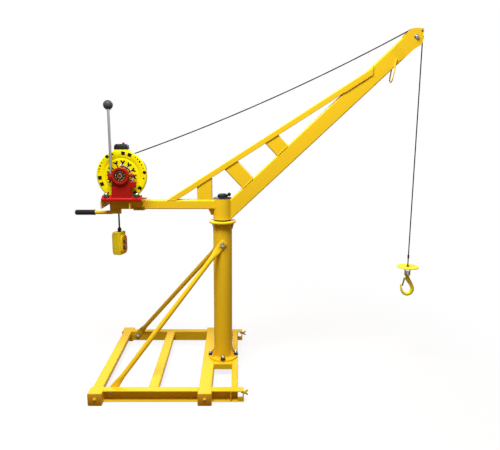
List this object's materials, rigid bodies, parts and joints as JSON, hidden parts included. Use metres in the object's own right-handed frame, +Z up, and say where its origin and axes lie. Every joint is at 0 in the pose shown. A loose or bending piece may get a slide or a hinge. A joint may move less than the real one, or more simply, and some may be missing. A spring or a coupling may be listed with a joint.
{
  "type": "mini crane",
  "caption": "Small free-standing jib crane with a welded base frame, a round column with a turning head, a braced boom, an electric winch with brake lever and pendant, and a rope hook.",
  "frame": {"origin": "on the floor, at the middle of the underside of the beam that carries the left side of the column flange", "axes": "+X along the boom towards the hook, +Y level across the boom, +Z up"},
  "size_m": [1.8618, 0.84, 1.8345],
  "materials": {
    "yellow_paint": "gloss paint",
    "lemon_paint": "gloss paint",
    "red_paint": "gloss paint",
    "black_plastic": "matt",
    "black_gloss": "polished",
    "black_rubber": "matt",
    "yellow_plastic": "satin",
    "red_plastic": "gloss",
    "bright_chrome": "polished",
    "zinc_steel": "zinc plated",
    "dark_steel": "oiled",
    "wire_rope": "stranded",
    "cast_aluminium": "cast"
  },
  "bodies": {
    "base": {"beam_left": "yellow_paint", "beam_middle": "yellow_paint", "beam_column": "yellow_paint", "beam_right": "yellow_paint", "rail_front": "yellow_paint", "rail_rear": "yellow_paint", "rail_end_front": "yellow_paint", "rail_end_rear": "yellow_paint", "wing_screw_front": "yellow_paint", "wing_screw_rear": "yellow_paint", "column": "yellow_paint", "column_pivot": "yellow_paint", "brace_front": "yellow_paint", "brace_rear": "yellow_paint"},
    "jib": {"sleeve": "yellow_paint", "sleeve_cap": "black_plastic", "rear_arm": "yellow_paint", "boom": "yellow_paint", "top_chord": "yellow_paint", "post_lower": "yellow_paint", "post_middle": "yellow_paint", "post_upper": "yellow_paint", "head_cheek_front": "yellow_paint", "head_cheek_rear": "yellow_paint", "pulley": "dark_steel", "pulley_axle": "zinc_steel", "dead_end_loop": "yellow_paint", "winch_platform": "yellow_paint", "push_handle": "yellow_paint", "handle_grip": "black_rubber", "bracket_front": "red_paint", "bracket_rear": "red_paint", "winch_shaft": "zinc_steel", "winch_cover": "lemon_paint", "gear_case": "lemon_paint", "drum": "dark_steel", "rope_coil": "wire_rope", "motor": "cast_aluminium", "control_box": "black_plastic", "stop_button": "red_plastic", "rope_run": "wire_rope", "rope_fall": "wire_rope", "pendant_cord": "black_rubber", "pendant_gland": "black_plastic", "pendant": "yellow_plastic"},
    "lever": {"brake_lever": "bright_chrome", "lever_knob": "black_gloss"},
    "hook_block": {"rope_end": "wire_rope", "hook_strap": "yellow_paint"},
    "hook": {"hook": "yellow_paint", "swivel_nut": "dark_steel"},
    "latch": {"hook_latch": "zinc_steel"}
  },
  "joints": [
    {"name": "jib_slew", "type": "hinge", "parent": "base", "child": "jib", "pos_m": [0.081, 0, 0.9], "axis": [0, 0, 1], "continuous": true},
    {"name": "brake_lever", "type": "hinge", "parent": "jib", "child": "lever", "pos_m": [-0.483, -0.107, 1.096], "axis": [0, -1, 0], "range_deg": [0, 35]},
    {"name": "hoist", "type": "slide", "parent": "jib", "child": "hook_block", "axis": [0, 0, 1], "range_m": [0, 1], "deforming": ["rope_fall"]},
    {"name": "hook_swivel", "type": "hinge", "parent": "hook_block", "child": "hook", "pos_m": [1.09775, 0, 0.541], "axis": [0, 0, 1], "continuous": true},
    {"name": "hook_latch", "type": "hinge", "parent": "hook", "child": "latch", "pos_m": [1.08375, 0, 0.52303], "axis": [0, -1, 0], "range_deg": [0, 35], "stiffness_Nm_per_rad": 0.02, "springref_deg": -17.19}
  ]
}
